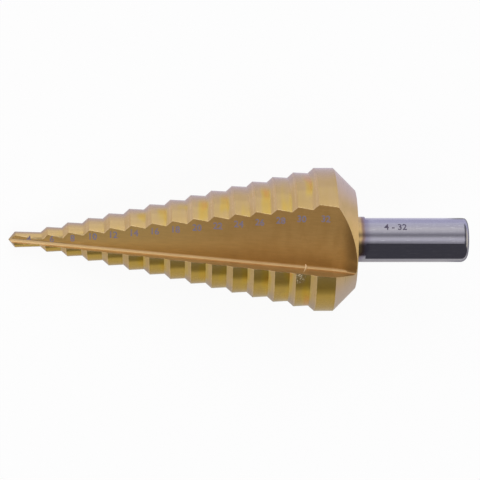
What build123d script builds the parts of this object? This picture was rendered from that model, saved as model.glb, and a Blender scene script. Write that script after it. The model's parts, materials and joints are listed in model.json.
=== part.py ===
"""Step drill: one piece of steel, ground with two straight flutes and fifteen sizes.

The drill is made along +X, from its tip at the origin to the end of its shank, and is then
laid down as it comes to rest, on three corners of its steps. Lengths are millimetres.
Angles about the axis are degrees, counted from +Z towards +Y.
"""
from math import cos, hypot, radians, sin, tan
import os

from build123d import *

# --- Steps -------------------------------------------------------------------------------
smallest_hole = 4.0        # diameter that the pilot cuts
hole_growth = 2.0          # each step cuts a hole this much wider than the one before
step_count = 15            # sizes, the pilot among them
first_step_at = 8.2        # tip to the front corner of the second size
step_pitch = 4.5           # from one front corner to the next
ramp_length = 1.3          # the slope that leads up to each front corner
back_taper = 0.16          # radius that a land loses from its front corner to its back
last_land = 4.1            # length of the widest land, which has no back taper
rear_chamfer_length = 5.1  # 45 degree chamfer behind the widest land

# --- Relief behind the cutting edges -----------------------------------------------------
edge_angle = -29.5         # where one row of cutting edges lies, about the axis
land_throw = 0.31          # a land's own axis stands this far off the drill's axis

# --- Flutes ------------------------------------------------------------------------------
floor_angle = -28.65       # where a flute's floor faces, about the axis
tip_web = 0.9              # steel left between the two floors at the tip
floor_slope = 0.1178       # how fast each floor climbs away from the axis, per mm of length
flute_opening = 70.0       # between a flute's floor and its cutting face
root_radius = 0.7          # in the bottom of the flute
wheel_radius = 11.0        # of the wheel whose edge runs out at the back of the flute
run_out_at = 70.0          # where the wheel begins to leave the flute

# --- Point -------------------------------------------------------------------------------
point_angle = 118.0        # between the two lips
lip_facet_lag = 45.0       # the lip facet is steepest this far behind its lip
heel_facet_lag = 100.0     # and the heel facet this far
facet_seam_lag = 60.0      # where the two facets of a land meet

# --- Shank -------------------------------------------------------------------------------
shank_diameter = 10.0
shank_length = 25.0
shank_flats = 3
flat_depth = 0.425         # cut off the round at the middle of each flat
flat_angle = -34.7         # where the first flat faces, about the axis
neck_length = 2.2          # full round between the rear face and the flats
end_rounding = 1.6

# --- Derived sizes -----------------------------------------------------------------------
radius_growth = hole_growth / 2
pilot_radius = smallest_hole / 2
largest_radius = pilot_radius + radius_growth * (step_count - 1)
last_step_at = first_step_at + step_pitch * (step_count - 2)
chamfer_at = last_step_at + last_land
rear_face_at = chamfer_at + rear_chamfer_length
rear_radius = largest_radius - rear_chamfer_length
shank_radius = shank_diameter / 2
lip_slope = 1 / tan(radians(point_angle / 2))
point_length = pilot_radius * lip_slope
ramp_slope = (radius_growth + back_taper) / ramp_length
ramp_throw = land_throw * (1 + ramp_slope)     # backs the ramps off along the axis as well
clear = 2.0                                    # how far cutting tools reach past the steel


def around(angle, radius=1.0, x=0.0):
    """A point at this angle and distance from the drill's axis."""
    return Vector(x, radius * sin(radians(angle)), radius * cos(radians(angle)))


# --- Stepped lands -----------------------------------------------------------------------
def corner_radius(step):
    """Radius of a step's front corner; step 0 is the pilot."""
    return pilot_radius + radius_growth * step


def corner_at(step):
    """Distance of a step's front corner from the tip."""
    return point_length if step == 0 else first_step_at + step_pitch * (step - 1)


def land_section(outline, throw):
    """Half section of a land, drawn to the axis that the land turns about.

    The outline's (x, radius) points are sizes at the cutting edge. That edge isn't in line
    with the throw, so each radius is measured again from the land's own axis.
    """
    edge = radians(edge_angle)
    rim = [(x, throw + hypot(r * sin(edge), r * cos(edge) - throw)) for x, r in outline]
    with BuildSketch(Plane.XZ) as section:
        with BuildLine():
            Polyline((outline[0][0], throw), *rim, (outline[-1][0], throw), close=True)
        make_face()
    return section.sketch


def land_axis(throw):
    """The axis that a land or a ramp turns about."""
    return Axis((0, 0, throw), (1, 0, 0))


def relieved_step(step):
    """Half a step: its land, cut back in front by its ramp, both relieved."""
    corner, radius = corner_at(step), corner_radius(step)
    widest = step == step_count - 1
    back = rear_face_at if widest else corner_at(step + 1)
    taper_slope = 0 if widest else back_taper / (back - ramp_length - corner)
    front = 0 if step == 0 else corner - 2 * ramp_length
    front_radius = radius + taper_slope * (corner - front)
    back_radius = radius - taper_slope * (back - corner)
    with BuildPart() as half_step:
        land = [(front, front_radius), (back, back_radius)]
        revolve(land_section(land, land_throw), axis=land_axis(land_throw), revolution_arc=180)
        if step > 0:
            foot = radius - ramp_slope * (corner - front)
            over = radius + ramp_slope * clear
            ramp = [(front, foot), (corner + clear, over), (back, over)]
            revolve(
                land_section(ramp, ramp_throw),
                axis=land_axis(ramp_throw),
                revolution_arc=180,
                mode=Mode.INTERSECT,
            )
    return half_step.part


half_steps = [relieved_step(step) for step in range(step_count)]

with BuildPart() as cone:
    for half_step in half_steps:
        add(half_step)
        add(half_step.rotate(Axis.X, 180))
    # The rear chamfer is turned about the drill's own axis.
    with BuildSketch(Plane.XZ):
        with BuildLine():
            Polyline(
                (0, 0),
                (0, largest_radius + clear),
                (chamfer_at - clear, largest_radius + clear),
                (rear_face_at, rear_radius),
                (rear_face_at, 0),
                close=True,
            )
        make_face()
    revolve(axis=Axis.X, mode=Mode.INTERSECT)

# --- Flute -------------------------------------------------------------------------------
def root_point(x):
    """Where a flute's floor and cutting face would meet in a sharp root."""
    edge_radius = corner_radius(1) + radius_growth / step_pitch * (x - first_step_at)
    edge_lead = radians(edge_angle - floor_angle)
    floor_height = tip_web / 2 + floor_slope * x
    face_rise = edge_radius * cos(edge_lead) - floor_height
    along_floor = edge_radius * sin(edge_lead) - face_rise / tan(radians(flute_opening))
    return around(floor_angle, floor_height, x) + around(floor_angle + 90, along_floor)


root_direction = (root_point(run_out_at) - root_point(0)).normalized()
floor_normal = around(floor_angle, 1, -floor_slope)
section_plane = Plane(
    origin=root_point(run_out_at),
    x_dir=floor_normal.cross(root_direction),
    z_dir=root_direction,
)
up_the_face = Vector(cos(radians(flute_opening)), sin(radians(flute_opening)))
wheel_centre = up_the_face * wheel_radius
wheel_tip = Vector(wheel_radius / cos(radians(flute_opening)), 0)
open_side = 2 * largest_radius
open_height = open_side / tan(radians(flute_opening))


def flute_section(*far_points):
    """Section across the flute: floor along x, cutting face leaning over it, round root."""
    with BuildSketch(section_plane) as section:
        with BuildLine():
            Polyline((0, 0), *far_points, close=True)
        make_face()
        root = section.vertices().sort_by_distance((0, 0, 0))[0]
        fillet(root, root_radius)
    return section.sketch


with BuildPart() as flute:
    groove = flute_section((open_side, 0), (open_side, open_side), (open_height, open_side))
    extrude(groove, amount=-run_out_at - clear)
    # At the back the flute has the shape of the wheel itself: flat on the side that grinds
    # the cutting face, and conical on the side that grinds the floor.
    wheel_half = flute_section(wheel_tip, wheel_centre)
    centre = section_plane.from_local_coords(wheel_centre)
    tip = section_plane.from_local_coords(wheel_tip)
    revolve(wheel_half, axis=Axis(centre, tip - centre))


# --- Point -------------------------------------------------------------------------------
def facet_plane(steepest_angle, slope):
    """Plane of a facet that falls away from the tip at this slope, towards this angle."""
    return Plane(origin=(0, 0, 0), z_dir=around(steepest_angle, -slope, 1))


lip_facet_slope = lip_slope / cos(radians(lip_facet_lag))
seam_slope = lip_facet_slope * cos(radians(facet_seam_lag - lip_facet_lag))
heel_facet_slope = seam_slope / cos(radians(heel_facet_lag - facet_seam_lag))

# --- The whole drill ---------------------------------------------------------------------
with BuildPart() as drill:
    add(cone.part)
    for half_turn in (0, 180):
        add(flute.part.rotate(Axis.X, half_turn), mode=Mode.SUBTRACT)
        lip_angle = edge_angle - half_turn
        split(bisect_by=facet_plane(lip_angle - lip_facet_lag, lip_facet_slope))
        split(bisect_by=facet_plane(lip_angle - heel_facet_lag, heel_facet_slope))
    with BuildSketch(Plane.YZ.offset(rear_face_at)):
        Circle(shank_radius)
    extrude(amount=shank_length)
    fillet(drill.faces().sort_by(Axis.X)[-1].edges(), end_rounding)
    with BuildSketch(Plane.YZ.offset(rear_face_at + neck_length)):
        with PolarLocations(shank_radius, shank_flats, start_angle=90 - flat_angle):
            Rectangle(2 * flat_depth, shank_diameter)
    extrude(amount=shank_length, mode=Mode.SUBTRACT)

# --- Laid down ---------------------------------------------------------------------------
# It rests on three of its corners: the lowest one, on the widest step, the one nearer the
# tip that touches first as it tips forwards, and the one that touches as it then rolls.
corners = [Vector(*vertex) for vertex in drill.vertices()]
lowest = min(corners, key=lambda corner: corner.Z)
forward = [corner for corner in corners if corner.X < lowest.X - step_pitch / 2]
foremost = min(forward, key=lambda corner: (corner.Z - lowest.Z) / (lowest.X - corner.X))
resting_line = (lowest - foremost).normalized()
# From the resting line, sideways leads under the axis to the other side of the drill.
sideways = resting_line.cross(Vector(0, 0, lowest.Y)).normalized()
downwards = resting_line.cross(sideways)


def roll_drop(corner):
    """How steeply a corner lies below the resting line, seen along it."""
    reach = corner - foremost
    return reach.dot(downwards) / reach.dot(sideways)


far_side = [corner for corner in corners if (corner - foremost).dot(sideways) > shank_radius]
last_to_touch = max(far_side, key=roll_drop)
upwards = resting_line.cross(last_to_touch - foremost).normalized()
upwards = upwards if upwards.Z > 0 else -upwards
table = Plane(
    origin=foremost,
    x_dir=Vector(1, 0, 0) - upwards * upwards.X,
    z_dir=upwards,
)
laid_down = table.to_local_coords(drill.part)
box = laid_down.bounding_box()
base = Plane(origin=(box.center().X, box.center().Y, box.min.Z))

with BuildPart() as step_drill:
    add(base.to_local_coords(laid_down))

os.makedirs("parts", exist_ok=True)
step_drill.part.label = "step_drill"
export_step(step_drill.part, "parts/step_drill.step")
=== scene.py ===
"""Dress the step drill: its ground and coated surfaces, its size marks, and the studio.

The drill's own frame has its origin at the tip, +X along the axis towards the shank and +Z
out of the side that lies uppermost. Sizes in it are millimetres, and angles about its axis
are degrees from +Z towards +Y. Blender's own units are metres, in the row's frame.
"""

import json
import logging
from dataclasses import dataclass, field
from enum import Enum
from math import cos, degrees, hypot, pi, radians, sin, tan

import bmesh
import bpy
from bmesh.types import BMesh
from bpy.types import Material, Mesh, Node, NodeSocket as Socket, NodeTree, Object
from mathutils import Matrix, Vector

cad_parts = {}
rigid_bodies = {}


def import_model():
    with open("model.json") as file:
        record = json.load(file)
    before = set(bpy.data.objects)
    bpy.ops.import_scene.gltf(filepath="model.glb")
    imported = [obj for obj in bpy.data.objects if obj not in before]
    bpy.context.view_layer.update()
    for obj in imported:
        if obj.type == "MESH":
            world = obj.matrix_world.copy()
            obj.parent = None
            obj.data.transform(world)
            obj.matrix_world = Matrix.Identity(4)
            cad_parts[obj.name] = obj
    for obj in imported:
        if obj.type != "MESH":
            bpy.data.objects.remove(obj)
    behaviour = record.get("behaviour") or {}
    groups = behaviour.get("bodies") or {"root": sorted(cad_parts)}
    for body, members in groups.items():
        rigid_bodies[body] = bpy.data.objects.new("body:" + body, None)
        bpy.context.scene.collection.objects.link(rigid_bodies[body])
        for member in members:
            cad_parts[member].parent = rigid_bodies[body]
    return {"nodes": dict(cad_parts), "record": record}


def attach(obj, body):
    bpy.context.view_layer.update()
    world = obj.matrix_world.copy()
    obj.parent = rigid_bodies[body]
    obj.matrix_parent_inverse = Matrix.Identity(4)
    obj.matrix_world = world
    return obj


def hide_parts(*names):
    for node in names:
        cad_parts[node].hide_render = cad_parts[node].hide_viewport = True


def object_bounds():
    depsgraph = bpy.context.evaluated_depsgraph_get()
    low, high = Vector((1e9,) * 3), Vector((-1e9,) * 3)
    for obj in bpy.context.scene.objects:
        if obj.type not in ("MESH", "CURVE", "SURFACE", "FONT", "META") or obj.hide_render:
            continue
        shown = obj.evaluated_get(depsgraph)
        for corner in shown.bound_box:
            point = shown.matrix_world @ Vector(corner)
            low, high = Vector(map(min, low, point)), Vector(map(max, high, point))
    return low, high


MM = 0.001
SEAM = 1e-7  # corners closer than this are one, in metres
LOG = logging.getLogger("step_drill")

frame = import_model()
for spare in [item for item in bpy.data.objects if item.name in ("Cube", "Light", "Camera")]:
    bpy.data.objects.remove(spare)
CAD_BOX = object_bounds()

Colour = tuple[float, float, float]  # 0 to 255 per channel
Pair = tuple[float, float]
Span = tuple[float, float]  # where something is none and where it is full


class Surface(Enum):
    """The kinds of surface on the drill, each with its own finish."""

    POINT = "point"
    LAND = "land"
    RAMP = "ramp"
    FLUTE_FLOOR = "flute_floor"
    FLUTE_ROOT = "flute_root"
    CUTTING_FACE = "cutting_face"
    REAR = "rear"
    SHANK = "shank"
    FLAT = "flat"


class Grain(Enum):
    """Which way the grinding marks of a surface run."""

    ALONG = "along"
    AROUND = "around"


class Measure(Enum):
    """What tells where a point lies on the drill."""

    FROM_TIP = "distance from the tip"
    SIDE = "sine of the angle about the axis"
    EITHER_SIDE = "that sine without its sign"
    UP = "cosine of the angle about the axis"
    ACROSS_FLOOR = "distance from the axis across a flute's floor"


@dataclass(frozen=True)
class DrillSizes:
    """Sizes of the drill that the finishes and marks are placed by, in millimetres."""

    smallest_hole: int = 4
    hole_growth: int = 2
    step_count: int = 15
    point_length: float = 2.4
    first_step_at: float = 8.2
    step_pitch: float = 4.5
    ramp_length: float = 1.3
    rear_face_at: float = 75.9
    neck_length: float = 2.2
    overall_length: float = 100.9
    shank_radius: float = 5.0
    flat_angle: float = 85.3

    def corner_at(self, step: int) -> float:
        """Give how far behind the tip a step's front corner lies."""
        return self.first_step_at + self.step_pitch * (step - 1)

    def hole(self, step: int) -> int:
        """Give the diameter that a step cuts."""
        return self.smallest_hole + self.hole_growth * step

    @property
    def last_corner(self) -> float:
        """How far behind the tip the largest step's front corner lies."""
        return self.corner_at(self.step_count - 1)

    @property
    def land_share(self) -> float:
        """The land's share of a step; the ramp to the next one is the rest."""
        return 1.0 - self.ramp_length / self.step_pitch

    @property
    def flats_start(self) -> float:
        """How far behind the tip the flats on the shank begin."""
        return self.rear_face_at + self.neck_length


SIZES = DrillSizes()


def around(angle: float, radius: float = 1.0, x: float = 0.0) -> Vector:
    """Give the point at an angle and a distance from the drill's axis."""
    return Vector((x, radius * sin(radians(angle)), radius * cos(radians(angle))))


@dataclass(frozen=True)
class Flute:
    """The V ground along the drill: a floor, a cutting face and a round root between them."""

    floor_angle: float = -28.65  # where the floor faces, about the axis
    edge_angle: float = -29.5  # where the cutting edges lie, about the axis
    half_web: float = 0.45  # distance of the floor from the axis at the tip
    slope: float = 0.1178  # how fast the floor climbs away from the axis
    opening: float = 70.0  # angle between the floor and the cutting face
    root_reach: float = 1.1  # how far from the sharp root the round root can lie
    slack: float = 0.03  # how far out of place or line a face may be
    on_face: float = 0.995  # least cosine to the cutting face's normal, for a face on it
    half_round: float = 0.5  # cosine where the round root is half turned

    @property
    def floor_normal(self) -> Vector:
        """The way the floor faces."""
        return around(self.floor_angle, 1.0, -self.slope).normalized()

    @property
    def root_direction(self) -> Vector:
        """The way the root runs, towards the shank."""
        return (self.sharp_root(1.0) - self.sharp_root(0.0)).normalized()

    @property
    def across_floor(self) -> Vector:
        """The way across the floor, from the root to the heel."""
        return self.floor_normal.cross(self.root_direction)

    @property
    def face_normal(self) -> Vector:
        """The way the cutting face faces."""
        turn = radians(self.opening)
        return self.across_floor * sin(turn) - self.floor_normal * cos(turn)

    @property
    def up_face(self) -> Vector:
        """The way up the cutting face, from the root to the edge."""
        turn = radians(self.opening)
        return self.across_floor * cos(turn) + self.floor_normal * sin(turn)

    def sharp_root(self, x: float) -> Vector:
        """Give the point where the floor and the cutting face would meet.

        Args:
            x: Distance from the tip, along the axis.

        Returns:
            The point in the drill's frame.
        """
        growth = SIZES.hole_growth / 2 / SIZES.step_pitch
        radius = SIZES.hole(1) / 2 + growth * (x - SIZES.first_step_at)
        lead = radians(self.edge_angle - self.floor_angle)
        floor_height = self.half_web + self.slope * x
        rise = radius * cos(lead) - floor_height
        along = radius * sin(lead) - rise / tan(radians(self.opening))
        return around(self.floor_angle, floor_height, x) + around(self.floor_angle + 90, along)

    def on_floor(self, x: float, y: float) -> Vector:
        """Find a point of the floor.

        Args:
            x: Distance from the tip, along the axis.
            y: Where it lies across the drill.

        Returns:
            The point in the drill's frame.
        """
        facing = around(self.floor_angle)
        height = self.half_web + self.slope * x
        return Vector((x, y, (height - facing.y * y) / facing.z))

    def surface(self, centre: Vector, facing: Vector) -> Surface | None:
        """Tell which of the flute's surfaces a face belongs to.

        Args:
            centre: The face's centre in the drill's frame.
            facing: The way it faces there.

        Returns:
            The kind of surface, or None outside the flute.
        """
        reach = centre - self.sharp_root(centre.x)
        if min(reach.dot(self.floor_normal), reach.dot(self.face_normal)) < -self.slack:
            return None
        lean = facing.dot(self.face_normal)
        floor_lean = -cos(radians(self.opening))
        off_root = (reach - self.root_direction * reach.dot(self.root_direction)).length
        past_root = off_root > self.root_reach and lean < self.half_round
        if lean < floor_lean + 2 * self.slack or past_root:
            return Surface.FLUTE_FLOOR
        return Surface.CUTTING_FACE if lean > self.on_face else Surface.FLUTE_ROOT


FLUTE = Flute()


@dataclass(frozen=True)
class DrillPlace:
    """Where the drill lies, read from the mounts on its shank."""

    to_row: Matrix  # from the drill's own millimetres to the row's metres

    @classmethod
    def from_record(cls, record: dict, sizes: DrillSizes) -> "DrillPlace":
        """Work out the drill's place from its shank and one of its flats.

        Args:
            record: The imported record.
            sizes: The drill's sizes.

        Returns:
            The drill's place in the row's frame.
        """
        mounts = {mount["name"]: mount for mount in record["mounts"]}
        along = Vector(mounts["shank"]["axis"]).normalized()
        flat = Vector(mounts["shank_flat_side"]["axis"]).normalized()
        past_flat = along.cross(flat)
        turn = radians(sizes.flat_angle)
        across = flat * sin(turn) - past_flat * cos(turn)
        outwards = flat * cos(turn) + past_flat * sin(turn)
        mount_at = (sizes.flats_start + sizes.overall_length) / 2
        tip = Vector(mounts["shank"]["pos_m"]) - along * mount_at * MM
        turned = Matrix((along, across, outwards)).transposed().to_4x4()
        return cls(Matrix.Translation(tip) @ turned @ Matrix.Scale(MM, 4))

    def point(self, x: float, y: float, z: float) -> Vector:
        """Give a point of the drill's frame in the row's frame."""
        return self.to_row @ Vector((x, y, z))

    @property
    def to_drill(self) -> Matrix:
        """Matrix from the row's metres to the drill's own millimetres."""
        return self.to_row.inverted()


PLACE = DrillPlace.from_record(frame["record"], SIZES)


# --- Materials ---------------------------------------------------------------------------
WHITE: Colour = (255, 255, 255)


def shade(colour: Colour) -> tuple[float, float, float, float]:
    """Give a colour the way Blender holds it.

    Args:
        colour: The colour, 0 to 255 per channel.

    Returns:
        The linear colour, 0 to 1 per channel, with full alpha.
    """
    linear = [
        value / 12.92 if value <= 0.04045 else ((value + 0.055) / 1.055) ** 2.4
        for value in (channel / 255 for channel in colour)
    ]
    return (*linear, 1.0)


@dataclass
class Graph:
    """A node tree being wired, with short ways to add what the finishes need."""

    tree: NodeTree

    def add(
        self, kind: str, inputs: dict[str | int, object] | None = None, **settings: object
    ) -> Node:
        """Add a node.

        Args:
            kind: The node's type name.
            inputs: Sockets or plain values for its inputs, by name or number.
            settings: Properties of the node to set.

        Returns:
            The new node.
        """
        node = self.tree.nodes.new(kind)
        for name, value in settings.items():
            setattr(node, name, value)
        self.feed(node, inputs or {})
        return node

    def feed(self, node: Node, inputs: dict[str | int, object]) -> None:
        """Link or set some of a node's inputs.

        Args:
            node: The node.
            inputs: Sockets or plain values for its inputs, by name or number.
        """
        for name, value in inputs.items():
            if isinstance(value, Socket):
                self.tree.links.new(value, node.inputs[name])
            else:
                node.inputs[name].default_value = value

    def math(self, operation: str, *values: object) -> Socket:
        """Wire a Math node to sockets or numbers, in the order of its inputs."""
        node = self.add("ShaderNodeMath", dict(enumerate(values)), operation=operation)
        return node.outputs[0]

    def times(self, first: object, *others: object) -> Socket:
        """Multiply sockets or numbers.

        Args:
            first: The first of them.
            others: The rest.

        Returns:
            Their product.
        """
        for value in others:
            first = self.math("MULTIPLY", first, value)
        return first

    def measure(self, operation: str, *vectors: object) -> Socket:
        """Wire a Vector Math node that gives a number."""
        node = self.add("ShaderNodeVectorMath", dict(enumerate(vectors)), operation=operation)
        return node.outputs["Value"]

    def combine(self, *values: object) -> Socket:
        """Combine up to three values to a vector."""
        return self.add("ShaderNodeCombineXYZ", dict(enumerate(values))).outputs[0]

    def split(self, vector: Socket) -> list[Socket]:
        """Split a vector into its three values."""
        return list(self.add("ShaderNodeSeparateXYZ", {0: vector}).outputs)

    def between(self, value: object, low: float, high: float) -> Socket:
        """Ease from 0 to 1 between two values, whichever of them is larger.

        Args:
            value: The socket to read.
            low: Where it gives 0.
            high: Where it gives 1.

        Returns:
            The share, 0 to 1.
        """
        inputs = {"Value": value, "From Min": low, "From Max": high}
        node = self.add("ShaderNodeMapRange", inputs, interpolation_type="SMOOTHSTEP")
        return node.outputs[0]

    def rescale(self, value: object, low: float, high: float) -> Socket:
        """Stretch a value of 0 to 1 over low to high."""
        inputs = {"Value": value, "To Min": low, "To Max": high}
        return self.add("ShaderNodeMapRange", inputs).outputs[0]

    def noise(
        self, vector: object, scale: float, detail: float = 2.0, roughness: float = 0.5
    ) -> Socket:
        """Wire a noise texture of about 0 to 1, read at a vector."""
        inputs = {"Vector": vector, "Scale": scale, "Detail": detail, "Roughness": roughness}
        return self.add("ShaderNodeTexNoise", inputs).outputs["Fac"]

    def mix(self, factor: object, first: object, second: object, blend: str = "MIX") -> Socket:
        """Mix two colours.

        Args:
            factor: How much of the second there is.
            first: A socket or colour.
            second: A socket or colour.
            blend: How the second is laid over the first.

        Returns:
            The mixed colour.
        """
        inputs = {0: factor}
        for place, colour in ((6, first), (7, second)):
            inputs[place] = shade(colour) if isinstance(colour, tuple) else colour
        return self.add("ShaderNodeMix", inputs, data_type="RGBA", blend_type=blend).outputs[2]

    def ramp(self, factor: Socket, stops: tuple[tuple[float, Colour], ...]) -> Socket:
        """Wire a colour ramp.

        Args:
            factor: Where to read it, 0 to 1.
            stops: Places along it and their colours, in order.

        Returns:
            The colour.
        """
        node = self.add("ShaderNodeValToRGB", {0: factor})
        elements = node.color_ramp.elements
        elements[0].position, elements[1].position = stops[0][0], stops[-1][0]
        for place, _ in stops[1:-1]:
            elements.new(place)
        for element, (_, colour) in zip(elements, stops):
            element.color = shade(colour)
        return node.outputs[0]


def new_material(name: str) -> tuple[Material, Graph, Node]:
    """Make a material that is still to be wired.

    Args:
        name: Its name.

    Returns:
        The material, its graph and its shader.
    """
    material = bpy.data.materials.new(name)
    material.use_nodes = True
    return material, Graph(material.node_tree), material.node_tree.nodes["Principled BSDF"]


@dataclass
class DrillCoordinates:
    """Where a shading point lies on the drill, as sockets in millimetres and radians."""

    graph: Graph
    point: Socket = field(init=False)  # in the drill's frame; x, y and z are its parts
    x: Socket = field(init=False)
    y: Socket = field(init=False)
    z: Socket = field(init=False)
    angle: Socket = field(init=False)  # about the axis
    along_marks: float = 0.03  # how fast marks along the drill change along themselves
    around_marks: float = 0.25  # the same for marks round it, per radian
    patch_scale: Pair = (0.30, 1.6)  # per millimetre and per radian
    relief_strength: float = 0.5

    def __post_init__(self) -> None:
        """Wire the object's coordinates through a Mapping node to the drill's frame."""
        to_drill = PLACE.to_drill
        inputs = {
            "Vector": self.graph.add("ShaderNodeTexCoord").outputs["Object"],
            "Location": to_drill.to_translation(),
            "Rotation": to_drill.to_euler(),
            "Scale": to_drill.to_scale(),
        }
        self.point = self.graph.add("ShaderNodeMapping", inputs).outputs["Vector"]
        self.x, self.y, self.z = self.graph.split(self.point)
        self.angle = self.graph.math("ARCTAN2", self.y, self.z)

    def grain(self, direction: Grain, fineness: float) -> Socket:
        """Give grinding marks that run one way.

        Args:
            direction: Which way the marks run.
            fineness: Marks per millimetre across them, roughly.

        Returns:
            The marks, about 0 to 1.
        """
        graph = self.graph
        if direction is Grain.ALONG:
            vector = graph.combine(graph.times(self.x, self.along_marks), self.y, self.z)
        else:
            reach = graph.measure("LENGTH", graph.combine(0.0, self.y, self.z))
            vector = graph.combine(self.x, graph.times(self.angle, self.around_marks), reach)
        return graph.noise(vector, fineness, detail=4.0, roughness=0.65)

    def patches(self) -> Socket:
        """Wire where patches in the coating are read.

        Returns:
            The vector to read them at.
        """
        per_mm, per_radian = self.patch_scale
        graph = self.graph
        return graph.combine(graph.times(self.x, per_mm), graph.times(self.angle, per_radian))

    def along_step(self) -> Socket:
        """Find where along its step a point lies.

        Returns:
            0 at the step's front corner, 1 at the next one's.
        """
        behind_first = self.graph.math("SUBTRACT", self.x, SIZES.first_step_at)
        steps = self.graph.math("DIVIDE", behind_first, SIZES.step_pitch)
        return self.graph.math("FRACT", steps)

    def read(self, measure: Measure) -> Socket:
        """Take one of the measures that tell where the point lies.

        Args:
            measure: Which one.

        Returns:
            Its value.
        """
        graph = self.graph
        if measure is Measure.FROM_TIP:
            return self.x
        if measure is Measure.UP:
            return graph.math("COSINE", self.angle)
        if measure is Measure.ACROSS_FLOOR:
            across = Vector((0.0, *FLUTE.across_floor.yz))
            return graph.math("ABSOLUTE", graph.measure("DOT_PRODUCT", self.point, across))
        side = graph.math("SINE", self.angle)
        return side if measure is Measure.SIDE else graph.math("ABSOLUTE", side)

    def past(self, origin: Vector, normal: Vector) -> Socket:
        """Give how far a point lies past the plane through an origin."""
        along_normal = self.graph.measure("DOT_PRODUCT", self.point, normal)
        return self.graph.math("SUBTRACT", along_normal, origin.dot(normal))

    def relief(self, height: Socket, depth: float) -> Socket:
        """Give the normals of a relief of heights 0 to 1 that is some millimetres deep."""
        inputs = {"Strength": self.relief_strength, "Distance": depth * MM, "Height": height}
        return self.graph.add("ShaderNodeBump", inputs).outputs["Normal"]


@dataclass(frozen=True)
class Layer:
    """Stretches of the drill given another colour: of the coating itself, or of painted light
    and shade.
    """

    colour: Colour
    where: dict[Measure, Span]  # it shows where all of these are full
    amount: float = 1.0  # how much of it shows there
    blend: str = "MIX"

    def over(self, place: DrillCoordinates, under: Socket) -> Socket:
        """Wire the layer over a colour.

        Args:
            place: Where the shading point lies.
            under: The colour that lies under it.

        Returns:
            The colour with the layer.
        """
        graph = place.graph
        shares = (graph.between(place.read(what), *span) for what, span in self.where.items())
        return graph.mix(graph.times(*shares, self.amount), under, self.colour, self.blend)


# Painted shade: the -Y side of the drill is made darker and warmer.
PAINTED_SHADE_MINUS_Y = Layer((242, 234, 158), {Measure.SIDE: (-0.3, -0.7)}, blend="MULTIPLY")
# Painted shade: the flute's floor is darker where the grinding wheel ran out of the flute.
PAINTED_RUNOUT_SHADE = Layer(
    (150, 116, 66), {Measure.ACROSS_FLOOR: (-3.0, 1.5), Measure.FROM_TIP: (72.0, 74.8)}
)


def tip_colour(colour: Colour) -> Layer:
    """Give another colour of the coating towards the tip."""
    return Layer(colour, {Measure.FROM_TIP: (58.0, 20.0)})


def thin_coat(
    side: Measure = Measure.SIDE, colour: Colour = (186, 164, 150), sines: Span = (0.80, 0.99)
) -> Layer:
    """Give the mauve of a painted reflection, along the +Y side of the drill or both sides."""
    return Layer(colour, {side: sines, Measure.UP: (-0.40, 0.0)}, amount=0.7)


@dataclass(frozen=True)
class EdgeWear:
    """Where the coating is rubbed off the sharp edges of the steps and the flutes, with a
    painted highlight along those edges.
    """

    # light gold of the rubbed edges, which also stands in for a highlight
    colour: Colour = (244, 214, 162)
    amount: float = 0.75  # how strongly the wear and painted highlight show on an edge
    width: float = 0.24  # how wide a strip beside an edge is worn and given the painted highlight
    at_steps: float = 0.4  # wear and painted highlight round the steps, as a share of that along the flutes
    before_first: Span = (-1.2, -0.7)  # distance from the first step's corner
    past_last: Span = (2.0, 1.0)  # distance from the last one's
    from_root: Span = (0.2, 0.6)  # distance across the floor, for the heel
    from_floor: Span = (0.3, 0.6)  # distance over the floor, for the cutting edge
    rubbed: Span = (0.35, 0.6)  # noise where a patch of wear and painted highlight shows

    def over(self, place: DrillCoordinates, under: Socket) -> Socket:
        """Wire the wear and painted highlight over a colour.

        Args:
            place: Where the shading point lies.
            under: The coating's colour.

        Returns:
            The worn colour, with the painted highlight.
        """
        graph = place.graph
        rubbed = graph.between(graph.noise(place.point, scale=1.4), *self.rubbed)
        amount = graph.times(rubbed, self.near_edge(place), self.amount)
        return graph.mix(amount, under, self.colour)

    def near_edge(self, place: DrillCoordinates) -> Socket:
        """Find the sharp edges.

        Args:
            place: Where the shading point lies.

        Returns:
            Up to 1 on an edge and 0 a width away from it.
        """
        graph = place.graph
        edge = self.near_corner(place)
        root = FLUTE.sharp_root(0.0)
        for flip in (1.0, -1.0):
            turned = Matrix.Diagonal((1.0, flip, flip))
            over_floor = place.past(turned @ root, turned @ FLUTE.floor_normal)
            past_face = place.past(turned @ root, turned @ FLUTE.face_normal)
            across = graph.measure("DOT_PRODUCT", place.point, turned @ FLUTE.across_floor)
            heel = graph.times(
                graph.between(over_floor, -self.width, 0.0),
                graph.between(over_floor, 2 * self.width, self.width),
                graph.between(across, *self.from_root),
            )
            cutting = graph.times(
                graph.between(past_face, -self.width, 0.0),
                graph.between(over_floor, *self.from_floor),
            )
            edge = graph.math("MAXIMUM", edge, graph.math("MAXIMUM", heel, cutting))
        return edge

    def near_corner(self, place: DrillCoordinates) -> Socket:
        """Find the corners round the steps.

        Args:
            place: Where the shading point lies.

        Returns:
            Up to this wear's share on a corner and 0 a width away from it.
        """
        graph = place.graph
        share = place.along_step()
        band = self.width / SIZES.step_pitch
        corner = graph.math(
            "MAXIMUM", graph.between(share, band, 0.0), graph.between(share, 1.0 - band, 1.0)
        )
        starts, ends = (
            graph.between(place.x, *(corner_at + reach for reach in span))
            for corner_at, span in (
                (SIZES.first_step_at, self.before_first),
                (SIZES.last_corner, self.past_last),
            )
        )
        return graph.times(corner, starts, ends, self.at_steps)


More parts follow.
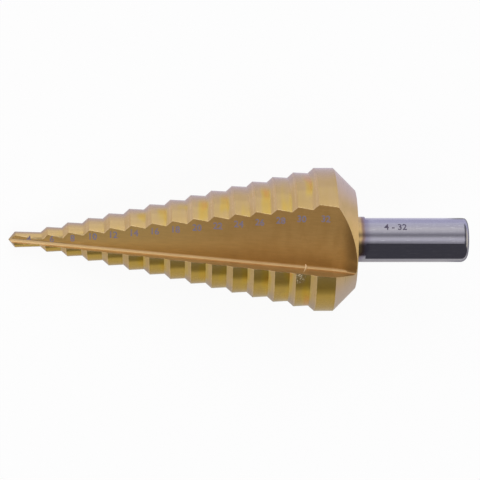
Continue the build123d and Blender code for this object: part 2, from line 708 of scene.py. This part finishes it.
@dataclass(frozen=True)
class Temper:
    """Where the coating is thicker, at the foot of each ramp, and its tints by thickness."""

    tints: tuple[tuple[float, Colour], ...] = (  # by thickness, 0 to 1
        (0.25, (214, 184, 122)),
        (0.55, (216, 186, 102)),
        (0.80, (220, 182, 88)),
        (1.00, (226, 172, 84)),
    )
    foot_from: Span = (0.15, 0.64)  # share of a step
    foot_to: Span = (0.97, 0.06)  # share of a step, the second counted from the land's end
    grows: Span = (8.0, 32.0)  # distance from the tip at which the tints come in
    tip_amount: float = 0.25  # how much of them shows at the tip
    deepens_to: float = 80.0  # how far behind the tip they go on deepening
    tip_depth: float = 0.56  # how deep they are at the tip, as a share of that
    base: float = 0.34  # thickness at a ramp's foot without its patches
    cloud: float = 0.50  # what its patches add there
    stray: float = 0.35  # what they add everywhere
    patches: Span = (0.28, 0.74)  # noise where a patch grows
    shows: Span = (0.25, 0.7)  # thickness at which the tints show
    ends: Span = (0.1, -0.5)  # distance from the last step's corner

    def over(self, place: DrillCoordinates, under: Socket) -> Socket:
        """Wire the tints over the colour that lies under them.

        Args:
            place: Where the shading point lies.
            under: The coating's colour.

        Returns:
            The tinted colour.
        """
        graph = place.graph
        thickness = self.thickness(place)
        grown = graph.rescale(graph.between(place.x, *self.grows), self.tip_amount, 1.0)
        ends = graph.between(place.x, *(SIZES.last_corner + past for past in self.ends))
        amount = graph.times(graph.between(thickness, *self.shows), grown, ends)
        return graph.mix(amount, under, graph.ramp(thickness, self.tints))

    def thickness(self, place: DrillCoordinates) -> Socket:
        """Give how thick the coating is.

        Args:
            place: Where the shading point lies.

        Returns:
            Its thickness, 0 to 1.
        """
        graph = place.graph
        share = place.along_step()
        ends, past_land = self.foot_to
        foot = graph.times(
            graph.between(share, *self.foot_from),
            graph.between(share, ends, SIZES.land_share + past_land),
        )
        noise = graph.noise(place.patches(), scale=1.0, detail=1.0)
        patches = graph.between(noise, *self.patches)
        reach = graph.math("MULTIPLY_ADD", patches, self.cloud, self.base)
        thickness = graph.math("MULTIPLY_ADD", foot, reach, graph.times(patches, self.stray))
        deepened = graph.between(place.x, self.grows[0], self.deepens_to)
        return graph.times(thickness, graph.rescale(deepened, self.tip_depth, 1.0))


@dataclass(frozen=True)
class Chipping:
    """A spot by one cutting edge where the coating has chipped away in specks."""

    middle: tuple[float, float, float] = (62.9, -8.3, 12.3)  # in the drill's frame
    reach: Span = (1.9, 0.76)  # distance from there
    colour: Colour = (228, 212, 172)  # of the bare specks
    rim: Colour = (120, 92, 56)  # of the dark rims round them
    metal: float = 0.15  # how much of a bare speck's light is reflected as metal does
    in_rim: Span = (0.47, 0.52)  # noise where a rim sets in
    in_speck: Span = (0.54, 0.58)  # noise where a bare speck does

    def over(self, place: DrillCoordinates, under: Socket) -> tuple[Socket, Socket]:
        """Wire the specks over the colour that lies under them.

        Args:
            place: Where the shading point lies.
            under: The coating's colour.

        Returns:
            The chipped coating's colour, and how bare it is.
        """
        graph = place.graph
        near = graph.between(graph.measure("DISTANCE", place.point, self.middle), *self.reach)
        specks = graph.noise(place.point, scale=3.4, roughness=0.7)
        rims, bare = (
            graph.times(graph.between(specks, *span), near)
            for span in (self.in_rim, self.in_speck)
        )
        return graph.mix(bare, graph.mix(rims, under, self.rim), self.colour), bare


@dataclass(frozen=True)
class Finish:
    """What a surface is made of; each kind of finish wires its own shader."""

    name: str

    def material(self) -> Material:
        """Make the material.

        Returns:
            The new material.
        """
        material, graph, shader = new_material(self.name)
        self.wire(DrillCoordinates(graph), shader)
        return material

    def wire(self, place: DrillCoordinates, shader: Node) -> None:
        """Wire the shader, each kind of finish in its own way."""
        raise NotImplementedError


@dataclass(frozen=True)
class CoatedFinish(Finish):
    """Ground steel under a thin gold-coloured coating."""

    colour: Colour
    patch: Colour  # what the colour drifts to in patches
    grain: Grain
    fineness: float = 6.0  # grinding marks per millimetre
    roughness: float = 0.32
    dullness: Pair = (-0.06, 0.10)  # the least and the most that the marks add to that
    depth: float = 0.002  # of the grinding marks, in millimetres
    wear: float = 0.2  # how far the coating thins on the marks' crests
    crests: Colour = (116, 90, 52)
    metal: float = 0.9  # how much of its light it reflects as metal does
    drift: Span = (0.38, 0.66)  # noise where a patch is
    layers: tuple[Layer | Temper, ...] = ()  # from the bottom up
    edge_wear: EdgeWear | None = None
    chipping: Chipping | None = None

    def wire(self, place: DrillCoordinates, shader: Node) -> None:
        """Wire the shader.

        Args:
            place: Where the shading point lies.
            shader: What is wired.
        """
        graph = place.graph
        marks = place.grain(self.grain, self.fineness)
        drift = graph.noise(place.patches(), scale=1.3, detail=3.0, roughness=0.55)
        colour = graph.mix(graph.between(drift, *self.drift), self.colour, self.patch)
        for layer in self.layers:
            colour = layer.over(place, colour)
        colour = graph.mix(graph.rescale(marks, 0.0, self.wear), colour, self.crests)
        # Rubbed edges, with a painted highlight along them.
        if self.edge_wear is not None:
            colour = self.edge_wear.over(place, colour)
        metal = self.metal
        if self.chipping is not None:
            colour, bare = self.chipping.over(place, colour)
            metal = graph.rescale(bare, self.metal, self.chipping.metal)
        dullness = (self.roughness + change for change in self.dullness)
        graph.feed(shader, {
            "Base Color": colour,
            "Metallic": metal,
            "Roughness": graph.rescale(marks, *dullness),
            "Normal": place.relief(marks, self.depth),
        })


@dataclass(frozen=True)
class ShankFinish(Finish):
    """Bare ground steel, tinted by heat where the coating ends on the neck."""

    grain: Grain
    steel: Colour = (182, 181, 194)
    crests: Colour = (128, 126, 134)  # of the grinding marks
    crest_share: float = 0.22  # how much of that colour shows
    scratch: Colour = (214, 214, 222)
    scratch_share: float = 0.5
    scratched: Span = (0.56, 0.70)  # noise where a scratch is
    stretch: float = 0.12  # how fast scratches change along the shank
    coating: Colour = (206, 176, 124)  # what runs onto the neck
    amber: Colour = (150, 124, 112)  # the first tint past it
    violet: Colour = (152, 146, 164)  # the second
    coated_to: float = 1.3  # how far past the rear face it runs
    wander: float = 0.4  # how far its end wanders either way
    bare_side: Span = (-0.5, -0.95)  # sine of the angle where it ends sooner
    sooner: float = 1.6  # by how much
    changes: tuple[Span, ...] = ((-0.3, 0.3), (0.2, 1.0), (0.8, 2.4))  # past its end
    roughness: float = 0.16
    dullness: Pair = (-0.06, 0.08)  # the least and the most that scratches add to that
    depth: float = 0.0015  # of the grinding marks

    def wire(self, place: DrillCoordinates, shader: Node) -> None:
        """Wire the shader.

        Args:
            place: Where the shading point lies.
            shader: What is wired.
        """
        graph = place.graph
        marks = place.grain(self.grain, fineness=3.0)
        streaks = graph.combine(graph.times(place.x, self.stretch), place.y, place.z)
        scratches = graph.noise(streaks, scale=3.4, detail=3.0, roughness=0.7)
        steel = graph.mix(graph.rescale(marks, 0.0, self.crest_share), self.steel, self.crests)
        scratched = graph.times(graph.between(scratches, *self.scratched), self.scratch_share)
        steel = graph.mix(scratched, steel, self.scratch)
        colour = self.coating
        past_coat = self.past_coating(place)
        for change, tint in zip(self.changes, (self.amber, self.violet, steel)):
            colour = graph.mix(graph.between(past_coat, *change), colour, tint)
        dullness = (self.roughness + change for change in self.dullness)
        graph.feed(shader, {
            "Base Color": colour,
            "Metallic": 1.0,
            "Roughness": graph.rescale(scratches, *dullness),
            "Normal": place.relief(marks, self.depth),
        })

    def past_coating(self, place: DrillCoordinates) -> Socket:
        """Give how far past the end of the coating a point lies.

        Args:
            place: Where the shading point lies.

        Returns:
            The distance along the shank, negative on the coating.
        """
        graph = place.graph
        noise = graph.noise(graph.combine(0.0, place.angle), scale=1.7)
        wander = graph.rescale(noise, -self.wander, self.wander)
        bare_side = graph.between(graph.math("SINE", place.angle), *self.bare_side)
        sooner = graph.math("MULTIPLY_ADD", bare_side, self.sooner, wander)
        from_end = graph.math("SUBTRACT", place.x, SIZES.rear_face_at + self.coated_to)
        return graph.math("ADD", from_end, sooner)


@dataclass(frozen=True)
class MarkFinish(Finish):
    """The dull oxide that a laser leaves where it has written."""

    colour: Colour
    patch: Colour  # what the colour drifts to in patches
    drift: Span = (0.35, 0.65)  # noise where a patch is
    metal: float = 0.5
    roughness: Pair = (0.45, 0.65)  # the least and the most

    def wire(self, place: DrillCoordinates, shader: Node) -> None:
        """Wire the shader.

        Args:
            place: Where the shading point lies.
            shader: What is wired.
        """
        graph = place.graph
        speckle = graph.noise(place.point, scale=1.6, detail=3.0)
        drift = graph.between(speckle, *self.drift)
        graph.feed(shader, {
            "Base Color": graph.mix(drift, self.colour, self.patch),
            "Metallic": self.metal,
            "Roughness": graph.rescale(speckle, *self.roughness),
        })


# --- The drill itself --------------------------------------------------------------------
def merge_seams(mesh: Mesh) -> None:
    """Join loose faces at their seams, and keep the way that each one is shaded.

    Args:
        mesh: The mesh, which is changed in place.
    """
    kept = mesh.attributes.new("kept_normal", "FLOAT_VECTOR", "CORNER")
    for corner, normal in zip(kept.data, mesh.corner_normals):
        corner.vector = normal.vector
    shape = bmesh.new()
    shape.from_mesh(mesh)
    bmesh.ops.remove_doubles(shape, verts=shape.verts, dist=SEAM)
    shape.to_mesh(mesh)
    shape.free()
    kept = mesh.attributes["kept_normal"]
    mesh.normals_split_custom_set([tuple(corner.vector) for corner in kept.data])
    mesh.attributes.remove(kept)


def piece_of(name: str, mesh: Mesh) -> Object:
    """Show a mesh as a piece of the drill, and let it ride.

    Args:
        name: The piece's name.
        mesh: Its mesh in the row's frame.

    Returns:
        The piece.
    """
    piece = bpy.data.objects.new(name, mesh)
    bpy.context.scene.collection.objects.link(piece)
    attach(piece, "root")
    return piece


@dataclass
class DrillBody:
    """The drill as it is shown: the turned and ground solid, one finish to each surface."""

    node: str = "step_drill"  # what it stands for
    slack: float = 0.01  # how far out of place or line a face may be
    leaning: float = 0.3  # least lean along the axis on the rear chamfer and the point
    on_ramp: float = 0.4  # the same on a ramp
    square: float = 0.9  # the same on the rear face
    on_flat: float = 0.9995  # least cosine to a flat's normal
    finishes: dict[Surface, Finish] = field(
        default_factory=lambda: {
            # Some layers below paint light: a mauve reflection on the sides, shade on the -Y
            # side and at the flute's run-out, and a highlight along the sharp edges.
            Surface.POINT: CoatedFinish(
                "coated_point", (204, 172, 116), (198, 168, 106), Grain.AROUND,
                roughness=0.24, metal=0.8, layers=(thin_coat(),), edge_wear=EdgeWear(),
            ),
            Surface.LAND: CoatedFinish(
                "coated_land", (208, 178, 124), (206, 176, 116), Grain.AROUND,
                roughness=0.17, wear=0.14, metal=0.7,
                layers=(tip_colour((216, 186, 130)), Temper(), PAINTED_SHADE_MINUS_Y, thin_coat()),
                edge_wear=EdgeWear(), chipping=Chipping(),
            ),
            Surface.RAMP: CoatedFinish(
                "coated_ramp", (216, 184, 128), (210, 176, 114), Grain.AROUND,
                roughness=0.28, depth=0.001, wear=0.05, metal=0.75,
                layers=(Temper(), thin_coat(Measure.EITHER_SIDE)), edge_wear=EdgeWear(),
            ),
            Surface.FLUTE_FLOOR: CoatedFinish(
                "coated_flute_floor", (208, 163, 97), (201, 156, 90), Grain.ALONG,
                fineness=2.6, roughness=0.46, depth=0.004, wear=0.3, metal=0.55,
                layers=(tip_colour((220, 182, 112)), PAINTED_RUNOUT_SHADE),
            ),
            Surface.FLUTE_ROOT: CoatedFinish(
                "coated_flute_root", (232, 194, 138), (228, 188, 130), Grain.ALONG,
                fineness=3.0, roughness=0.30, metal=0.8, layers=(tip_colour((244, 208, 150)),),
            ),
            Surface.CUTTING_FACE: CoatedFinish(
                "coated_cutting_face", (208, 178, 122), (200, 170, 114), Grain.ALONG,
                fineness=3.0, roughness=0.38, metal=0.7, chipping=Chipping(),
            ),
            Surface.REAR: CoatedFinish(
                "coated_rear", (216, 184, 130), (208, 178, 120), Grain.AROUND,
                roughness=0.28, depth=0.001, wear=0.06, metal=0.75,
                layers=(thin_coat(Measure.EITHER_SIDE, (204, 184, 174), (0.5, 0.85)),),
            ),
            Surface.SHANK: ShankFinish("bare_shank", Grain.AROUND),
            Surface.FLAT: ShankFinish("bare_flat", Grain.ALONG),
        }
    )

    def build(self) -> Object:
        """Copy the solid, give each face its finish and stand it in for the node.

        Returns:
            The shown drill.
        """
        mesh = frame["nodes"][self.node].data.copy()
        merge_seams(mesh)
        mesh.materials.clear()
        slots = {}
        for kind, finish in self.finishes.items():
            slots[kind] = len(mesh.materials)
            mesh.materials.append(finish.material())
        to_drill = PLACE.to_drill
        for face in mesh.polygons:
            facing = (to_drill.to_3x3() @ face.normal).normalized()
            face.material_index = slots[self.kind_of(to_drill @ face.center, facing)]
        piece = piece_of("drill_body", mesh)
        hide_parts(self.node)
        return piece

    def kind_of(self, centre: Vector, facing: Vector) -> Surface:
        """Tell what kind of surface a face belongs to.

        Args:
            centre: The face's centre in the drill's frame.
            facing: The way it faces there.

        Returns:
            The kind of surface.
        """
        if centre.x > SIZES.rear_face_at - self.slack:
            return self.kind_behind_cone(centre, facing)
        if facing.x > self.leaning:
            return Surface.REAR
        if centre.x < SIZES.point_length and facing.x < -self.leaning:
            return Surface.POINT
        for half_turn in (0.0, pi):
            turned = Matrix.Rotation(half_turn, 3, "X")
            in_flute = FLUTE.surface(turned @ centre, turned @ facing)
            if in_flute is not None:
                return in_flute
        return Surface.RAMP if facing.x < -self.on_ramp else Surface.LAND

    def kind_behind_cone(self, centre: Vector, facing: Vector) -> Surface:
        """Tell a face behind the cone apart: rear face, shank or one of its flats.

        Args:
            centre: The face's centre in the drill's frame.
            facing: The way it faces there.

        Returns:
            The kind of surface.
        """
        if hypot(centre.y, centre.z) > SIZES.shank_radius and facing.x > self.square:
            return Surface.REAR
        if centre.x > SIZES.flats_start and facing.x < self.slack:
            for third in (0, 120, 240):
                if facing.dot(around(SIZES.flat_angle + third)) > self.on_flat:
                    return Surface.FLAT
        return Surface.SHANK


# --- Marks and wear ----------------------------------------------------------------------
def written(text: str, height: float, plate: float, narrow: float = 1.0) -> Mesh:
    """Write characters as a thin plate, centred on the origin and facing +Z.

    Args:
        text: What it says.
        height: Height of a digit.
        plate: Thickness of the plate.
        narrow: How wide a character is, as a share of the typeface's own width.

    Returns:
        The mesh, in the units of height.
    """
    curve = bpy.data.curves.new("written", "FONT")
    curve.body = text
    curve.resolution_u = 3
    curve.extrude = plate / 2
    curve.offset = 0.018  # makes the strokes bolder
    holder = bpy.data.objects.new("written", curve)
    mesh = bpy.data.meshes.new_from_object(holder)
    bpy.data.objects.remove(holder)
    bpy.data.curves.remove(curve)
    low = Vector(min(vertex.co[i] for vertex in mesh.vertices) for i in range(3))
    high = Vector(max(vertex.co[i] for vertex in mesh.vertices) for i in range(3))
    size = height / (high.y - low.y)
    to_size = Matrix.Diagonal((size * narrow, size, 1.0, 1.0))
    mesh.transform(to_size @ Matrix.Translation(-(low + high) / 2))
    return mesh


def placed(name: str, shape: BMesh, finish: Finish) -> Object:
    """Close a shape's seams and make it a piece of the drill.

    Args:
        name: The piece's name.
        shape: Its shape in the row's frame.
        finish: What it is made of.

    Returns:
        The piece.
    """
    bmesh.ops.remove_doubles(shape, verts=shape.verts, dist=SEAM)
    bmesh.ops.recalc_face_normals(shape, faces=shape.faces)
    mesh = bpy.data.meshes.new(name)
    shape.to_mesh(mesh)
    shape.free()
    mesh.materials.append(finish.material())
    return piece_of(name, mesh)


@dataclass
class SizeMarks:
    """The diameter that each step cuts, written beside it on the flute's floor."""

    height: float = 1.65  # of a digit, on the floor
    narrow: float = 0.92  # a digit's width, as a share of the typeface's own
    plate: float = 0.012  # thickness of the oxide
    pilot_at: float = 4.5  # the pilot's mark, from the tip
    past_corner: float = 1.35  # any other mark, from its step's front corner
    last_past: float = 0.65  # how much further the last one stands
    rise: float = 0.085  # how fast the row climbs across the drill
    start: float = -0.95  # where that row would cross the tip
    across: Pair = (0.1, 4.4)  # the least and the most that a mark stands across
    finish: MarkFinish = MarkFinish("laser_oxide", (148, 148, 176), (170, 150, 160))

    def build(self) -> Object:
        """Write every size along the flute.

        Returns:
            The marks, as one piece.
        """
        shape = bmesh.new()
        upwards = FLUTE.floor_normal
        along = (Vector((1, 0, 0)) - upwards * upwards.x).normalized()
        turned = Matrix((along, upwards.cross(along), upwards)).transposed().to_4x4()
        for step in range(SIZES.step_count):
            mesh = written(str(SIZES.hole(step)), self.height, self.plate, self.narrow)
            mesh.transform(PLACE.to_row @ Matrix.Translation(self.middle(step)) @ turned)
            shape.from_mesh(mesh)
            bpy.data.meshes.remove(mesh)
        return placed("size_marks", shape, self.finish)

    def middle(self, step: int) -> Vector:
        """Find the middle of a step's mark.

        Args:
            step: The step; 0 is the pilot.

        Returns:
            The point on the flute's floor, in the drill's frame.
        """
        at = self.pilot_at if step == 0 else SIZES.corner_at(step) + self.past_corner
        if step == SIZES.step_count - 1:
            at += self.last_past
        nearest, farthest = self.across
        return FLUTE.on_floor(at, min(max(self.start + self.rise * at, nearest), farthest))


@dataclass
class RangeMark:
    """The smallest and the largest size, written round the shank."""

    height: float = 1.55  # of a digit
    plate: float = 0.012  # thickness of the oxide
    middle: float = 84.6  # where its middle stands, from the tip
    angle: float = 33.0  # and about the axis
    slices: int = 8  # bands that each digit is cut into, to follow the round
    seam: float = 1e-5  # corners of the writing closer than this are one
    finish: MarkFinish = MarkFinish("shank_oxide", (92, 88, 110), (104, 96, 112))

    def build(self) -> Object:
        """Write the range and wrap it round the shank.

        Returns:
            The mark, as one piece.
        """
        text = f"{SIZES.hole(0)} - {SIZES.hole(SIZES.step_count - 1)}"
        mesh = written(text, self.height, self.plate)
        shape = bmesh.new()
        shape.from_mesh(mesh)
        bpy.data.meshes.remove(mesh)
        bmesh.ops.remove_doubles(shape, verts=shape.verts, dist=self.seam)
        for cut in range(1, self.slices):
            level = self.height * (cut / self.slices - 0.5)
            whole = shape.verts[:] + shape.edges[:] + shape.faces[:]
            bmesh.ops.bisect_plane(
                shape, geom=whole, plane_co=(0, level, 0), plane_no=(0, 1, 0)
            )
        for vertex in shape.verts:
            turn = self.angle + degrees(vertex.co.y / SIZES.shank_radius)
            reach = SIZES.shank_radius + vertex.co.z
            vertex.co = PLACE.to_row @ around(turn, reach, self.middle + vertex.co.x)
        return placed("range_mark", shape, self.finish)


@dataclass
class Burr:
    """A sliver curled off the cutting face, with a shorter prong beside it."""

    at: float = 64.5  # how far behind the tip it grows out
    up_face: float = 3.6  # and how far up the cutting face
    sunk: float = 0.1  # how deep in the face its line starts
    starts: float = 0.04  # share of that line where the sliver starts
    reach: float = 1.7  # how far it stands off the face
    lean: Pair = (0.34, 0.8)  # towards the shank: how far, and half turns of its sine
    lift: float = 0.22  # how high it arches
    thickness: float = 0.19  # radius at its middle
    thin_ends: float = 0.35  # radius at its ends, as a share of that
    stations: int = 9  # rings along it
    segments: int = 8  # sides of a ring
    fork: float = 0.45  # share of the line where the prong grows out
    fork_step: Pair = (0.05, 0.075)  # from ring to ring: share of the line, and aside
    fork_thickness: float = 0.6  # the prong's radius, as a share of the sliver's
    finish: CoatedFinish = CoatedFinish(
        "torn_coating", (255, 226, 180), (250, 214, 164), Grain.ALONG, roughness=0.5, metal=0.2
    )

    def build(self) -> Object:
        """Make the sliver and its prong.

        Returns:
            The burr, as one piece.
        """
        shape = bmesh.new()
        on, aside = self.fork_step
        pitch = (1 - self.starts) / (self.stations - 1)
        sliver = [self.spot(self.starts + pitch * i, 0.0) for i in range(self.stations)]
        prong = [self.spot(self.fork + on * i, aside * i) for i in range(self.stations // 2)]
        self.curl(shape, sliver, self.thickness)
        self.curl(shape, prong, self.fork_thickness * self.thickness)
        return placed("cutting_face_burr", shape, self.finish)

    def spot(self, share: float, aside: float) -> Vector:
        """Find a point of the sliver's line.

        Args:
            share: How far along the line it is, from inside the face at 0.
            aside: How far towards the shank it is moved.

        Returns:
            The point in the drill's frame.
        """
        far, turn = self.lean
        start = FLUTE.sharp_root(self.at) + FLUTE.up_face * self.up_face
        outwards = FLUTE.face_normal * (self.reach * share - self.sunk)
        arch = FLUTE.up_face * (self.lift * sin(pi * share))
        return start + outwards + arch + Vector((far * sin(turn * pi * share) + aside, 0, 0))

    def curl(self, shape: BMesh, line: list[Vector], thickness: float) -> None:
        """Skin a line with rings that swell at its middle and close at its ends.

        Args:
            shape: Where it is made.
            line: The line's points in the drill's frame.
            thickness: The largest ring's radius.
        """
        last = None
        for i, point in enumerate(line):
            ahead = line[min(i + 1, len(line) - 1)] - line[max(i - 1, 0)]
            facing = ahead.to_track_quat("Z", "Y").to_matrix().to_4x4()
            swell = (1 - self.thin_ends) * sin(pi * (i + 1) / (len(line) + 1))
            ring = bmesh.ops.create_circle(
                shape,
                segments=self.segments,
                radius=thickness * (self.thin_ends + swell),
                matrix=PLACE.to_row @ Matrix.Translation(point) @ facing,
            )
            edges = list({edge for vertex in ring["verts"] for edge in vertex.link_edges})
            if last is None:
                bmesh.ops.contextual_create(shape, geom=edges)
            else:
                bmesh.ops.bridge_loops(shape, edges=last + edges)
            last = edges
        bmesh.ops.contextual_create(shape, geom=last)


# --- Studio ------------------------------------------------------------------------------
@dataclass(frozen=True)
class RoomLight:
    """The soft light of the room, as it changes round the drill's long axis."""

    stops: tuple[tuple[float, Colour], ...] = (  # by degrees from straight up, towards +Y
        (-180, (232, 228, 222)), (-107, (222, 218, 210)), (-97, (92, 86, 84)),
        (-86, (82, 76, 78)), (-68, (81, 81, 85)), (-30, (82, 82, 86)),
        (-18, (150, 148, 150)), (-5, (240, 238, 240)), (5, (230, 228, 230)),
        (15, (156, 154, 156)), (24, (158, 156, 160)), (36, (226, 224, 224)),
        (52, (250, 247, 242)), (70, (232, 230, 236)), (88, (240, 240, 250)),
        (115, (240, 238, 250)), (180, (232, 232, 240)),
    )
    beyond_shank: Colour = (255, 246, 220)  # straight out past the shank
    beyond: Span = (0.80, 0.95)  # how straight out that is
    over_end: Colour = (70, 70, 78)  # between there and straight up
    end_share: float = 0.8  # how much of that shows
    end_from: Span = (0.4, 0.58)  # how straight out that comes in
    end_to: Span = (0.92, 0.8)  # and goes out
    level: float = 1.05  # brightness of white

    def build(self) -> None:
        """Make the world, white where the eye sees it bare."""
        world = bpy.data.worlds.new("studio")
        bpy.context.scene.world = world
        world.use_nodes = True
        graph = Graph(world.node_tree)
        x, y, z = graph.split(graph.add("ShaderNodeTexCoord").outputs["Generated"])
        turn = graph.math("MULTIPLY_ADD", graph.math("ARCTAN2", y, z), 0.5 / pi, 0.5)
        room = graph.ramp(turn, tuple(((at + 180) / 360, colour) for at, colour in self.stops))
        over_end = graph.times(
            graph.between(x, *self.end_from), graph.between(x, *self.end_to), self.end_share
        )
        room = graph.mix(over_end, room, self.over_end)
        room = graph.mix(graph.between(x, *self.beyond), room, self.beyond_shank)
        seen = graph.add("ShaderNodeLightPath").outputs["Is Camera Ray"]
        graph.feed(world.node_tree.nodes["Background"], {
            "Color": graph.mix(seen, room, WHITE),
            "Strength": graph.math("MULTIPLY_ADD", seen, 1.0 - self.level, self.level),
        })


@dataclass(frozen=True)
class Lamp:
    """A wide soft lamp that shiny surfaces don't reflect."""

    name: str
    place: tuple[float, float, float]  # in metres
    power: float  # in watts
    size: Pair = (1.4, 0.9)  # its sides, in metres

    def build(self) -> None:
        """Hang the lamp, facing the drill."""
        data = bpy.data.lights.new(self.name, "AREA")
        data.shape = "RECTANGLE"
        data.size, data.size_y = self.size
        data.energy = self.power
        lamp = bpy.data.objects.new(self.name, data)
        lamp.location = self.place
        lamp.rotation_euler = (-lamp.location).to_track_quat("-Z", "Y").to_euler()
        lamp.visible_glossy = False
        bpy.context.scene.collection.objects.link(lamp)


@dataclass(frozen=True)
class Floor:
    """A plain pale floor that keeps the drill's shadow, and glows to shiny surfaces with
    painted light, shade and shadow; lengths are metres.
    """

    size: float = 6.0
    colour: Colour = (232, 232, 234)
    roughness: float = 0.9
    white: float = 0.93  # how much of it is plain white to the eye
    gleam: float = 0.68  # how much of it glows, as below, to a shiny surface
    near: Colour = (200, 196, 188)  # painted warm shade on the -Y side of the drill
    far: Colour = (226, 224, 255)  # painted cool light on the +Y side
    blend: float = 0.02  # how far from the middle either is full
    dark: Colour = (60, 58, 58)  # painted dark shade far out on the -Y side
    dark_from: Span = (-0.22, -0.10)  # where on that side it is full, and where it starts
    end: Colour = (96, 96, 106)  # painted shadow just past the shank's end
    end_from: Span = (0.0, 0.004)  # distance past the end where that comes in
    end_to: Span = (0.14, 0.098)  # and goes out
    end_aside: Span = (0.025, 0.015)  # the same to either side

    def build(self) -> None:
        """Lay the floor."""
        mesh = bpy.data.meshes.new("floor")
        shape = bmesh.new()
        bmesh.ops.create_grid(shape, x_segments=1, y_segments=1, size=self.size / 2)
        shape.to_mesh(mesh)
        shape.free()
        floor = bpy.data.objects.new("floor", mesh)
        bpy.context.scene.collection.objects.link(floor)
        mesh.materials.append(self.material())

    def material(self) -> Material:
        """Make the floor's material: its plain colour under a share of glow, white to the eye
        and painted light and shade to shiny surfaces.

        Returns:
            The new material.
        """
        material, graph, shader = new_material("floor")
        graph.feed(shader, {"Base Color": shade(self.colour), "Roughness": self.roughness})
        path = graph.add("ShaderNodeLightPath").outputs
        seen = path["Is Camera Ray"]
        glow = graph.add("ShaderNodeEmission", {
            "Color": graph.mix(seen, self.gleam_colour(graph), WHITE),
            "Strength": 1.0,
        })
        share = graph.math(
            "MAXIMUM",
            graph.times(seen, self.white),
            graph.times(path["Is Glossy Ray"], self.gleam),
        )
        inputs = {0: share, 1: shader.outputs[0], 2: glow.outputs[0]}
        blend = graph.add("ShaderNodeMixShader", inputs)
        graph.feed(material.node_tree.nodes["Material Output"], {"Surface": blend.outputs[0]})
        return material

    def gleam_colour(self, graph: Graph) -> Socket:
        """Wire the painted light, shade and shadow that shiny surfaces reflect.

        Args:
            graph: The floor's graph.

        Returns:
            The colour by place.
        """
        x, y, _ = graph.split(graph.add("ShaderNodeTexCoord").outputs["Object"])
        colour = graph.mix(graph.between(y, -self.blend, self.blend), self.near, self.far)
        colour = graph.mix(graph.between(y, *self.dark_from), self.dark, colour)
        past_end = graph.math("SUBTRACT", x, CAD_BOX[1][0])
        # The painted shadow of the shank's end, seen only in reflections.
        end = graph.times(
            graph.between(past_end, *self.end_from),
            graph.between(past_end, *self.end_to),
            graph.between(graph.math("ABSOLUTE", y), *self.end_aside),
        )
        return graph.mix(end, colour, self.end)


@dataclass(frozen=True)
class View:
    """The camera over the drill, square to its axis but for a slight turn."""

    height: float = 600.0  # from the drill's axis to the camera
    over: float = 20.9  # from the tip to the point below the camera
    look_at: float = 50.75  # from the tip to the point in the middle of the view
    look_below: float = 0.14  # how far below the axis that point lies in the view
    width: float = 105.3  # of the view at the axis
    sensor: float = 36.0
    clip: Pair = (0.01, 20.0)  # the nearest and farthest that it sees, in metres

    def build(self) -> None:
        """Set the camera up."""
        data = bpy.data.cameras.new("camera")
        data.sensor_width = self.sensor
        data.lens = self.sensor * self.height / self.width
        data.clip_start, data.clip_end = self.clip
        camera = bpy.data.objects.new("camera", data)
        stand = PLACE.point(self.over, 0.0, self.height)
        backwards = (stand - PLACE.point(self.look_at, -self.look_below, 0.0)).normalized()
        view_up = (PLACE.to_row.to_3x3() @ Vector((0.0, 1.0, 0.0))).normalized()
        right = view_up.cross(backwards).normalized()
        turned = Matrix((right, backwards.cross(right), backwards)).transposed().to_4x4()
        camera.matrix_world = Matrix.Translation(stand) @ turned
        bpy.context.scene.collection.objects.link(camera)
        bpy.context.scene.camera = camera


@dataclass(frozen=True)
class Studio:
    """The studio that the drill is shown in."""

    parts: tuple[Floor | RoomLight | Lamp | View, ...] = (
        Floor(),
        RoomLight(),
        Lamp("far_lamp", (-0.2, 0.9, 1.2), 6.2),
        Lamp("near_lamp", (0.1, -0.9, 1.1), 9.6),
        View(),
    )

    def build(self) -> None:
        """Set up the floor, the light and the camera."""
        for part in self.parts:
            part.build()
        bpy.context.scene.view_settings.view_transform = "Standard"


def main() -> None:
    """Build the pieces in order, then the studio."""
    logging.basicConfig(level=logging.INFO, format="%(name)s: %(message)s")
    for part in (DrillBody(), SizeMarks(), RangeMark(), Burr()):
        piece = part.build()
        LOG.info("%s: %d faces", piece.name, len(piece.data.polygons))
    Studio().build()
    LOG.info("studio: floor, room light, lamps and camera")


if __name__ == "__main__":
    main()
